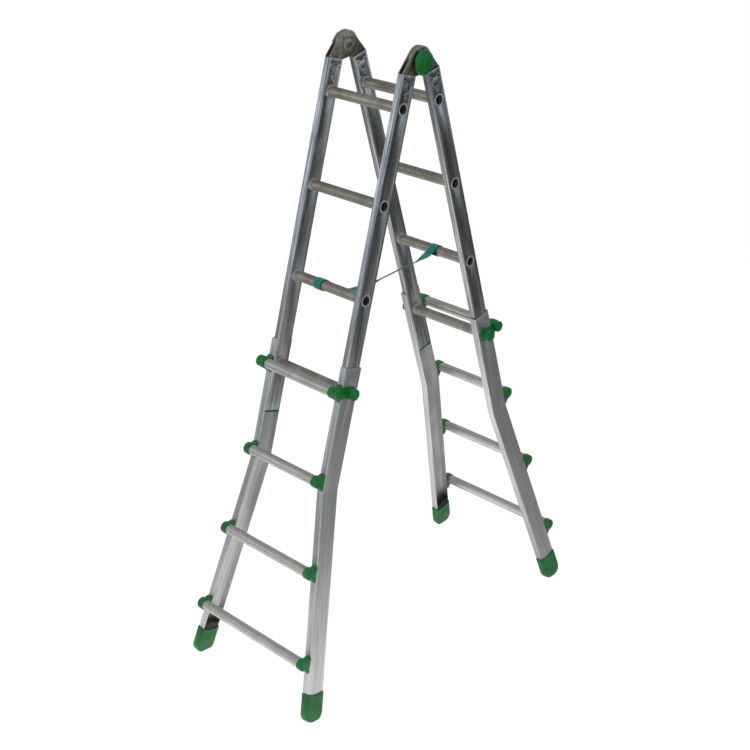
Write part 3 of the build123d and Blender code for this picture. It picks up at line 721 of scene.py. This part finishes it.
def saddle_outline(inset, square=1.0):
    """Points round a saddle, as out and down from its rung's middle. Less square is nearer a circle."""
    radius = SADDLE_RADIUS - inset
    foot_out = FLANGE_OUT - SADDLE_OUT + inset * 0.3
    hull = [(radius * x, radius * y) for x, y in circle(CIRCLE)]
    for sign, (corner, end) in FOOT_EDGES.items():
        middle = sign * (end - corner - inset)
        hull += [(foot_out + corner + corner * x, middle + corner * y) for x, y in circle(CORNER)]
    hull = hull_order(hull)
    ring = []
    for way in circle(OUTLINE):
        reach = reach_to(hull, way, radius)
        corner, end = FOOT_EDGES[1 if way[1] > 0 else -1]
        proud = math.hypot(foot_out + corner, end - inset) - radius
        if way[0] * reach > foot_out + corner and 0 < reach - radius < proud:
            reach = radius + (reach - radius) * ((reach - radius) / proud) ** SADDLE_HOLLOW
        reach = radius + (reach - radius) * square
        ring.append((way[0] * reach, way[1] * reach))
    return ring


print("points of an outline", len(saddle_outline(0.0)))

# %% [markdown]
# Each section says where it is along the rung and how far the outline is drawn in there. The pull lobe's
# sections also say how square they are, because the lobe is round.
# %% Saddles
INNER_SECTIONS = [(0, 0.0024), (0.0006, 0.0012), (0.0016, 0.0004), (0.003, 0.0)]
PLAIN_END = [(-0.0042, 0.0), (-0.0022, 0.0004), (-0.001, 0.0012), (-0.0002, 0.0026), (0.0, 0.0055)]
PULL_LOBE = [
    (-0.0025, 0.0, 1.0), (-0.0012, 0.0006, 1.0), (-0.0002, 0.0018, 0.8), (0.0004, 0.0026, 0.3),
    (0.0012, 0.003, 0.0), (0.0038, 0.003, 0.0), (0.0046, 0.0026, 0.0), (0.0054, 0.0018, 0.0),
    (0.0068, 0.0013, 0.0), (0.0112, 0.0013, 0.0), (0.0130, 0.0018, 0.0), (0.0142, 0.0030, 0.0),
    (0.0148, 0.0050, 0.0), (0.0150, 0.0090, 0.0),
]
SADDLE_CLEAR = 0.0002  # between a rung and its saddle


def add_saddle(shape, side, lobes):
    """Adds one saddle to a mesh, drawn about its rung's middle at the channel's web."""
    bore = [((RUNG_RADIUS + SADDLE_CLEAR) * x, (RUNG_RADIUS + SADDLE_CLEAR) * y) for x, y in circle(OUTLINE)]
    sections = [(-SADDLE_END, bore), (-SADDLE_WIDTH, bore)]
    sections += [(x - SADDLE_WIDTH, saddle_outline(inset)) for x, inset in INNER_SECTIONS]
    sections.append((-SADDLE_WIDTH / 2, saddle_outline(0.0)))
    sections += [(x, saddle_outline(*drawn)) for x, *drawn in (PULL_LOBE if lobes else PLAIN_END)]
    rings = [[shape.verts.new((side * x, *p)) for p in outline] for x, outline in sections]
    join_rings(shape, rings, capped=True)


for leg in LEGS:
    out_way, down_way = leg_ways(leg)
    node = f"{leg}_rung_saddles"
    shape = bmesh.new()
    for down in OUTER_RUNGS:
        for side in SIDES.values():
            before = len(shape.verts)
            add_saddle(shape, side, lobes=down == OUTER_RUNGS[0])
            shape.verts.ensure_lookup_table()
            at = on_leg(leg, side * (WEB_OUTSIDE + flared(down)), SADDLE_OUT, down)
            for vertex in shape.verts[before:]:
                x, out, lower = vertex.co
                vertex.co = at + Vector((x, 0, 0)) + out_way * out + down_way * lower
    place_piece(node + "_moulded", mesh_of(shape, node + "_moulded", SMALL_SHARP), green_plastic, node)
print("saddles", 2 * len(LEGS) * len(OUTER_RUNGS))

# %% [markdown]
# ## Hinge rivets
# Twelve domed rivets hold the hinge plates in the stiles. One Geometry Nodes tree puts the same rivet on every
# point it is given: a flattened ball for the domed head inboard, a shank, and a low head outboard. The points
# carry the side they are on, so that the domes face inboard on both sides.
# %% Hinge rivets
ROUND = 20  # sides of a rivet
rivet_tree, given = new_tree(
    "domed rivets", ["Head Radius", "Dome", "Low Head", "Shank Radius", "Grip", "Finish"]
)
ball_size = {"Segments": ROUND, "Rings": ROUND // 2, "Radius": 1.0}
ball = add(rivet_tree, "GeometryNodeMeshUVSphere", ball_size)
parts = []
for height, place in (("Dome", -0.5), ("Low Head", 0.5)):
    size = {"X": given[height], "Y": given["Head Radius"], "Z": given["Head Radius"]}
    scale = add(rivet_tree, "ShaderNodeCombineXYZ", size)
    shift = add(rivet_tree, "ShaderNodeMath", {0: given["Grip"], 1: place}, operation="MULTIPLY")
    at = add(rivet_tree, "ShaderNodeCombineXYZ", {"X": shift})
    laid = {"Geometry": ball.outputs["Mesh"], "Translation": at, "Scale": scale}
    parts.append(add(rivet_tree, "GeometryNodeTransform", laid))
size = {"Vertices": ROUND, "Radius": given["Shank Radius"], "Depth": given["Grip"]}
shank = add(rivet_tree, "GeometryNodeMeshCylinder", size)
laid = {"Geometry": shank.outputs["Mesh"], "Rotation": (0.0, math.pi / 2, 0.0)}
parts.append(add(rivet_tree, "GeometryNodeTransform", laid))
rivet = add(rivet_tree, "GeometryNodeJoinGeometry")
for part in parts:
    rivet_tree.links.new(part.outputs[0], rivet.inputs[0])
inboard = add(rivet_tree, "GeometryNodeInputNamedAttribute", {"Name": "inboard"}, data_type="FLOAT")
half_turn = add(rivet_tree, "ShaderNodeMath", {0: inboard, 1: math.pi}, operation="MULTIPLY")
turned = add(rivet_tree, "ShaderNodeCombineXYZ", {"Z": half_turn})
set_down = {"Points": given["Geometry"], "Instance": rivet, "Rotation": turned}
rivets = add(rivet_tree, "GeometryNodeInstanceOnPoints", set_down)
end_tree(rivet_tree, rivets, given["Finish"])

RIVET_PLACES = [(-0.015, 0.07), (0.015, 0.07), (0.0, 0.104)]  # out from the stile's middle, and down
RIVET_SIZES = {"Head Radius": 0.0065, "Dome": 0.002, "Low Head": 0.0008, "Shank Radius": 0.004}
for leg in LEGS:
    node = f"{leg}_hinge_rivets"
    spots = bpy.data.meshes.new(node + "_spots")
    points = [
        (side, on_leg(leg, side * (INNER_HALF_WIDTH - STILE_WIDTH / 2), STILE_OUT + out, down))
        for side in SIDES.values()
        for out, down in RIVET_PLACES
    ]
    spots.from_pydata([p for _, p in points], [], [])
    turn = spots.attributes.new("inboard", "FLOAT", "POINT")
    turn.data.foreach_set("value", [0.0 if side > 0 else 1.0 for side, _ in points])
    sizes = {**RIVET_SIZES, "Grip": STILE_WIDTH, "Finish": rivet_steel}
    mesh = run_tree(node + "_domed", rivet_tree, spots, sizes)
    shade(mesh, SMALL_SHARP)
    add_grain(mesh, leg)
    place_piece(node + "_domed", mesh, inner_aluminium, node)
print("hinge rivets", len(LEGS) * len(SIDES) * len(RIVET_PLACES))

# %% [markdown]
# ## Webbing
# The strap is woven polyester webbing, 30 mm wide and 1.6 mm thick. Webbing shows cords that run along it and
# picks that cross them. The pattern reads an attribute called weave, with the distance across and along the
# band, so that it follows every turn. The picks are drawn 2 mm apart, a little coarser than real ones, so
# that they show.
# %% Webbing material
FADE_SCALE = 45.0  # faded places are about 22 mm wide


def woven_webbing(name, dark, light, cord_mm, pick_mm):
    material, tree = start_material(name)
    weave = add(tree, "ShaderNodeAttribute", attribute_name="weave", attribute_type="GEOMETRY")
    parts = add(tree, "ShaderNodeSeparateXYZ", {"Vector": weave.outputs["Vector"]})
    waves = []
    for axis, spacing in (("X", cord_mm), ("Y", pick_mm)):
        turns = {0: parts.outputs[axis], 1: 2 * math.pi * 1000 / spacing}
        turns = add(tree, "ShaderNodeMath", turns, operation="MULTIPLY")
        waves.append(add(tree, "ShaderNodeMath", {0: turns}, operation="SINE"))
    crossed = add(tree, "ShaderNodeMath", {0: waves[0], 1: waves[1]}, operation="MULTIPLY")
    ends = {"From Min": -1.0, "From Max": 1.0, "To Min": 0.0, "To Max": 1.0}
    height = add(tree, "ShaderNodeMapRange", {"Value": crossed, **ends})
    place = add(tree, "ShaderNodeTexCoord").outputs["Object"]
    noise = {"Vector": place, "Scale": FADE_SCALE, "Detail": 4.0, "Roughness": 0.6}
    fade = add(tree, "ShaderNodeTexNoise", noise)
    mixed = add(tree, "ShaderNodeMix", {"Factor": 0.5, "A": height, "B": fade}, data_type="FLOAT")
    finish = {"Sheen Weight": 0.1, "IOR": 1.5}
    end_material(tree, mixed, [(0.25, dark), (0.75, light)], 0.72, (height, 0.5, 0.0004), **finish)
    return material


webbing = woven_webbing("woven_teal_webbing", "045a50", "168c7c", 2.4, 2.0)
thread = woven_webbing("sewing_thread", "0a4f49", "14776d", 0.6, 1.0)
print("webbing", webbing.name, thread.name)

# %% [markdown]
# ## The strap's line
# The strap is looped round the third rung of each leg and hangs with a little slack between them. Its free
# line is a smooth NURBS curve with a few control points, lowest in the middle.
# %% Strap line
STRAP_WIDTH, STRAP_THICKNESS, STRAP_RUNG_DOWN = 0.030, 0.0016, INNER_RUNGS[2]
STRAP_X = {"front": -0.030, "rear": 0.015}
strap_centre = {leg: on_leg(leg, STRAP_X[leg], STILE_OUT, STRAP_RUNG_DOWN) for leg in LEGS}
strap_points = [
    (-0.0271, -0.1975, 1.2540), (-0.0233, -0.1600, 1.2190), (-0.0174, -0.1000, 1.2045), (-0.0075, 0.0, 1.2145),
    (0.0029, 0.1050, 1.2330), (0.0083, 0.1600, 1.2365), (0.0121, 0.1975, 1.2540),
]
seams = {"front": Vector(strap_points[0]), "rear": Vector(strap_points[-1])}
curve = bpy.data.curves.new("strap_line", "CURVE")
curve.dimensions = "3D"
spline = curve.splines.new("NURBS")
spline.points.add(len(strap_points) - 1)
for point, place in zip(spline.points, strap_points):
    point.co = (*place, 1.0)
spline.order_u, spline.use_endpoint_u, spline.resolution_u = 3, True, 24
strap_line = [v.co.copy() for v in as_mesh(new_object("strap_line", curve)).vertices]
strap_length = sum((b - a).length for a, b in zip(strap_line, strap_line[1:]))
print("strap between its loops", round(strap_length, 4), "m")

# %% [markdown]
# ## The strap's band
# A band of webbing is a flat section with round edges, carried along a line. The function takes the line and
# the direction across the band at each point, and stores the weave attribute as it goes.
# %% Band of webbing
BAND_STEPS = 8  # across one face of the webbing


def band_section():
    """The outline of the webbing cut across, as a place across it and a height."""
    half, edge, flat = STRAP_WIDTH / 2, STRAP_THICKNESS / 2, STRAP_WIDTH - STRAP_THICKNESS
    round_in, round_up = edge * 0.3, edge * 0.7
    top = [(-half + edge + flat * step / BAND_STEPS, edge) for step in range(BAND_STEPS + 1)]
    top += [(half - round_in, round_up), (half, 0.0)]
    under = [(half - round_in, -round_up)]
    under += [(half - edge - flat * step / BAND_STEPS, -edge) for step in range(BAND_STEPS + 1)]
    return top + under + [(-half + round_in, -round_up), (-half, 0.0), (-half + round_in, round_up)]


def band(name, line, across):
    """A mesh of webbing along a line."""
    shape = bmesh.new()
    weave = shape.verts.layers.float_vector.new("weave")
    section = band_section()
    rings, along = [], 0.0
    for i, point in enumerate(line):
        ahead = (line[min(i + 1, len(line) - 1)] - line[max(i - 1, 0)]).normalized()
        wide = (across[i] - ahead * across[i].dot(ahead)).normalized()
        thick = ahead.cross(wide)
        along += (point - line[i - 1]).length if i else 0.0
        ring = []
        for u, v in section:
            vertex = shape.verts.new(point + wide * u + thick * v)
            vertex[weave] = (u, along, 0.0)
            ring.append(vertex)
        rings.append(ring)
    join_rings(shape, rings, capped=True)
    return mesh_of(shape, name, 60)


print("points round the webbing", len(band_section()))

# %% [markdown]
# The band rolls over on its edge between the loops, as slack webbing does, so each place along it has its own
# roll. The roll grows from the first place and is gone again at the second, each a part of the whole length.
# %% The free span
STRAP_ROLL = math.radians(27)
ROLL_STARTS, ROLL_GROWS_OVER, ROLL_ENDS, ROLL_FADES_OVER = 0.36, 0.16, 0.99, 0.12


def eased_step(value):
    """0 to 1, slow at both ends."""
    value = min(1.0, max(0.0, value))
    return value * value * (3 - 2 * value)


travelled, across = 0.0, []
for i, point in enumerate(strap_line):
    travelled += (point - strap_line[i - 1]).length if i else 0.0
    part = travelled / strap_length
    grown = eased_step((part - ROLL_STARTS) / ROLL_GROWS_OVER)
    roll = STRAP_ROLL * grown * eased_step((ROLL_ENDS - part) / ROLL_FADES_OVER)
    across.append(Vector((math.cos(roll), 0, math.sin(roll))))
strap_mesh = band("spread_strap_span", strap_line, across)
strap_mesh.materials.append(webbing)
span = new_object("spread_strap_span", strap_mesh)
print("span points", len(strap_line))

# %% [markdown]
# ## The strap's loops
# Each end of the webbing goes round a rung and is sewn back on itself. The loop is the same band on another
# line: out from the seam, round the rung a little over a millimetre clear of it, and back. Its two layers
# meet where the free span begins.
# %% Loops
LOOP_RADIUS, LOOP_STEPS, SEAM_STEPS = 0.0177, 40, 6
LAYER_APART = STRAP_THICKNESS * 0.62  # from the seam's middle to the middle of each layer


def loop_line(leg):
    """A teardrop round a rung, from the seam and back to it."""
    centre, seam = strap_centre[leg], seams[leg]
    towards = seam - centre
    flat = Vector((0, towards.y, towards.z))
    unit, skew = flat.normalized(), towards.x * LOOP_RADIUS / flat.length
    normal = Vector((0, -unit.z, unit.y)) if unit.y > 0 else Vector((0, unit.z, -unit.y))
    leaves = math.acos(LOOP_RADIUS / flat.length)

    def round_rung(turn):
        place = centre + (unit * math.cos(turn) + normal * math.sin(turn)) * LOOP_RADIUS
        place.x = centre.x + skew * math.cos(turn)
        return place

    start, end = seam + normal * LAYER_APART, seam - normal * LAYER_APART
    points = [start.lerp(round_rung(leaves), step / SEAM_STEPS) for step in range(SEAM_STEPS)]
    turns = [leaves + 2 * (math.pi - leaves) * step / LOOP_STEPS for step in range(LOOP_STEPS + 1)]
    points += [round_rung(turn) for turn in turns]
    points += [round_rung(-leaves).lerp(end, step / SEAM_STEPS) for step in range(1, SEAM_STEPS + 1)]
    return points


for leg in seams:
    name, line = f"spread_strap_loop_{leg}", loop_line(leg)
    mesh = band(name, line, [Vector((1, 0, 0))] * len(line))
    place_piece(name, mesh, webbing, "spread_strap", f"{leg}_inner")

# %% [markdown]
# ## Stitches
# The webbing is sewn back on itself with a box of thick thread. A Geometry Nodes tree lays one short, round
# stitch on each point it is given, turned the way that the point says. The thread is 0.7 mm and each stitch
# 3 mm long, a little coarser than real ones, so that they show. The points run round a box on both faces.
# %% Stitches
stitch_tree, given = new_tree("box stitches", ["Stitch Length", "Thread Radius", "Finish"])
size = {"Vertices": 6, "Radius": given["Thread Radius"], "Depth": given["Stitch Length"]}
stitch = add(stitch_tree, "GeometryNodeMeshCylinder", size)
heading = add(stitch_tree, "GeometryNodeInputNamedAttribute", {"Name": "heading"}, data_type="FLOAT_VECTOR")
turned = add(stitch_tree, "FunctionNodeAlignRotationToVector", {"Vector": heading}, axis="Z")
laid = {"Points": given["Geometry"], "Instance": stitch.outputs["Mesh"], "Rotation": turned}
sewn = add(stitch_tree, "GeometryNodeInstanceOnPoints", laid)
end_tree(stitch_tree, sewn, given["Finish"])
STITCH_SPACING, BOX_HALF_WIDTH, STITCH_LIFT = 0.0038, 0.0115, STRAP_THICKNESS * 0.55
STITCH_SIZES = {"Stitch Length": 0.003, "Thread Radius": 0.00035, "Finish": thread}


def stitch_box(start, end, outside):
    """The places and the headings of the stitches of a box between two points of a layer."""
    along = (end - start).normalized()
    sideways = (Vector((1, 0, 0)) - along * along.x).normalized()
    lift = along.cross(sideways)
    lift = -lift if lift.dot(outside) < 0 else lift
    start, end = start + lift * STITCH_LIFT, end + lift * STITCH_LIFT
    points, headings = [], []
    for rail in (-1, 1):
        count = int((end - start).length / STITCH_SPACING)
        points += [start.lerp(end, i / count) + sideways * rail * BOX_HALF_WIDTH for i in range(count + 1)]
        headings += [along] * (count + 1)
    for row in (start, end):
        count = int(2 * BOX_HALF_WIDTH / STITCH_SPACING)
        points += [row + sideways * BOX_HALF_WIDTH * (2 * i / count - 1) for i in range(1, count)]
        headings += [sideways] * (count - 1)
    return points, headings


for leg, seam in seams.items():
    line = loop_line(leg)
    points, headings = [], []
    for run in (line[1:SEAM_STEPS], line[-2 : -SEAM_STEPS - 1 : -1]):
        box = stitch_box(run[0], run[-1], run[0] - strap_centre[leg].lerp(seam, 0.9))
        points += box[0]
        headings += box[1]
    spots = bpy.data.meshes.new(f"spread_strap_stitch_spots_{leg}")
    spots.from_pydata(points, [], [])
    heading = spots.attributes.new("heading", "FLOAT_VECTOR", "POINT")
    heading.data.foreach_set("vector", [value for way in headings for value in way])
    name = f"spread_strap_stitches_{leg}"
    mesh = run_tree(name, stitch_tree, spots, STITCH_SIZES)
    shade(mesh, SMALL_SHARP)
    place_piece(name, mesh, thread, "spread_strap", f"{leg}_inner")
    print(name, len(points))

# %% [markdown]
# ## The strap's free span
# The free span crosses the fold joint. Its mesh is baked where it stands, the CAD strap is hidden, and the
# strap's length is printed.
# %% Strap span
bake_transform(span)
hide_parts("spread_strap")
print("strap", round(strap_length, 4), "m")

# %% [markdown]
# ## Surroundings
# Polished metal shows what is around it, so the surroundings matter as much as the lamps. The world and the
# floor each have three looks: one for the picture itself, nearly white, one that lights the pieces softly,
# and one that only reflections see. In reflections the world is a little cooler and brighter near the horizon,
# which gives the metal its grey sides.
# %% World
scene = bpy.context.scene
scene.view_settings.view_transform, scene.view_settings.look = "Standard", "None"


def by_ray(tree, soft, reflected, pictured):
    """One shader out of three: for soft light, for reflections, and for the picture itself."""
    seen = add(tree, "ShaderNodeLightPath").outputs
    mix = {0: seen["Is Glossy Ray"], 1: soft, 2: reflected}
    for_gloss = add(tree, "ShaderNodeMixShader", mix)
    mix = {0: seen["Is Camera Ray"], 1: for_gloss, 2: pictured}
    return add(tree, "ShaderNodeMixShader", mix)


scene.world = bpy.data.worlds.new("studio")
scene.world.use_nodes = True
tree = scene.world.node_tree
tree.nodes.clear()
place = add(tree, "ShaderNodeTexCoord")
parts = add(tree, "ShaderNodeSeparateXYZ", {"Vector": place.outputs["Generated"]})
ends = {"From Min": -1.0, "From Max": 1.0}
height = add(tree, "ShaderNodeMapRange", {"Value": parts.outputs["Z"], **ends})
tones = [(0.5, "d6dfe8"), (0.6, "aab2b9"), (0.75, "939596"), (1.0, "a0a0a0")]
stops = [(place, linear(code)) for place, code in tones]
tone = add(tree, "ShaderNodeValToRGB", {"Fac": height}, stops)
soft = add(tree, "ShaderNodeBackground", {"Color": WHITE, "Strength": 0.35})
reflected = add(tree, "ShaderNodeBackground", {"Color": tone, "Strength": 0.9})
pictured = add(tree, "ShaderNodeBackground", {"Color": WHITE, "Strength": 1.0})
add(tree, "ShaderNodeOutputWorld", {"Surface": by_ray(tree, soft, reflected, pictured)})
print("world", scene.world.name)

# %% [markdown]
# ## Floor
# The ladder stands on a plain pale floor. In reflections the floor's light fades with the distance from the
# ladder. It is dimmer behind the ladder, and brighter far in front of it on both sides, as it is near windows.
# %% Floor
FLOOR_HALF, FLOOR_FADE = 30.0, 0.2  # metres to an edge, and the ramp's part in a metre
floor_material, tree = start_material("pale_floor")
place = add(tree, "ShaderNodeTexCoord").outputs["Object"]
reach = add(tree, "ShaderNodeVectorMath", {0: place}, operation="LENGTH")
faded = {0: reach.outputs["Value"], 1: FLOOR_FADE}
faded = add(tree, "ShaderNodeMath", faded, operation="MULTIPLY")
FADING = [(0, 1.10, 1.08), (0.1, 0.95, 0.93), (0.2, 0.68, 0.66), (0.3, 0.56, 0.54), (0.4, 0.46, 0.44)]
FADING += [(0.6, 0.20, 0.19), (1, 0.07, 0.065)]  # each a place, linear red and green, and linear blue
stops = [(at, (warm, warm, blue, 1)) for at, warm, blue in FADING]
fading = add(tree, "ShaderNodeValToRGB", {"Fac": faded}, stops)
strengths = []
for way, near, far, from_strength, to_strength in (
    ((0.7, 0.7, 0.0), -0.3, 0.8, 1.0, 0.38),  # dimmer behind
    ((0.7, -0.7, 0.0), 1.0, 2.5, 0.0, 2.9),  # brighter to the front right
    ((-0.64, -0.77, 0.0), 3.0, 6.0, 0.0, 1.3),  # and far to the front left
):
    towards = add(tree, "ShaderNodeVectorMath", {0: place, 1: way}, operation="DOT_PRODUCT")
    ends = {"From Min": near, "From Max": far, "To Min": from_strength, "To Max": to_strength}
    strengths.append(add(tree, "ShaderNodeMapRange", {"Value": towards.outputs["Value"], **ends}))
strength = strengths[0]
for more in strengths[1:]:
    strength = add(tree, "ShaderNodeMath", {0: strength, 1: more}, operation="ADD")
lit = add(tree, "ShaderNodeBsdfDiffuse", {"Color": linear("f2f1ee")})
glow = add(tree, "ShaderNodeEmission", {"Color": WHITE, "Strength": 1.08})
pictured = add(tree, "ShaderNodeMixShader", {0: 0.9, 1: lit, 2: glow})
reflected = add(tree, "ShaderNodeEmission", {"Color": fading, "Strength": strength})
bounce = add(tree, "ShaderNodeEmission", {"Color": fading, "Strength": 0.6})
soft = add(tree, "ShaderNodeAddShader", {0: lit, 1: bounce})
add(tree, "ShaderNodeOutputMaterial", {"Surface": by_ray(tree, soft, reflected, pictured)})
corners = [(x * FLOOR_HALF, y * FLOOR_HALF, 0) for x, y in ((-1, -1), (1, -1), (1, 1), (-1, 1))]
mesh = bpy.data.meshes.new("floor")
mesh.from_pydata(corners, [], [(0, 1, 2, 3)])
mesh.materials.append(floor_material)
new_object("floor", mesh)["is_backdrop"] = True
print("floor", 2 * FLOOR_HALF, "m wide")

# %% [markdown]
# ## Lamps
# Three large, soft lamps light the ladder. They don't show in the metal, which would give hard white stripes.
# A fourth, weak one is a window in front on the left, and it does: it brightens the upper parts of the stiles.
# %% Lamps


def area_light(name, at, aim, size, power, colour, shows_in_metal=False):
    data = bpy.data.lights.new(name, "AREA")
    data.shape, data.size, data.energy, data.color = "DISK", size, power, linear(colour)[:3]
    light = new_object(name, data)
    turn = (Vector(aim) - Vector(at)).to_track_quat("-Z", "Y").to_matrix().to_4x4()
    light.matrix_world = Matrix.Translation(at) @ turn
    light.visible_glossy = shows_in_metal


area_light("key", (-3.0, -4.0, 4.5), (0, 0, 1), 3.0, 110, "f4f8ff")
area_light("fill", (3.5, -3.5, 4.0), (0, 0, 1), 3.0, 50, "fffaf2")
area_light("window", (-2.9, -3.4, 3.0), (0, 0, 1.5), 2.0, 6.5, "eef4ff", shows_in_metal=True)
area_light("top", (0.0, 1.5, 5.0), (0, 0, 0.8), 3.5, 80, "ffffff")

# %% [markdown]
# ## Finish
# Any CAD piece that is shown without a finish is named, and the size of the finished model is printed.
# %% Finish
for node, piece in frame["nodes"].items():
    if not piece.hide_render and not piece.data.materials:
        print("no finish on", node)
low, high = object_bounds()
print("visual size", [round(v, 3) for v in high - low])
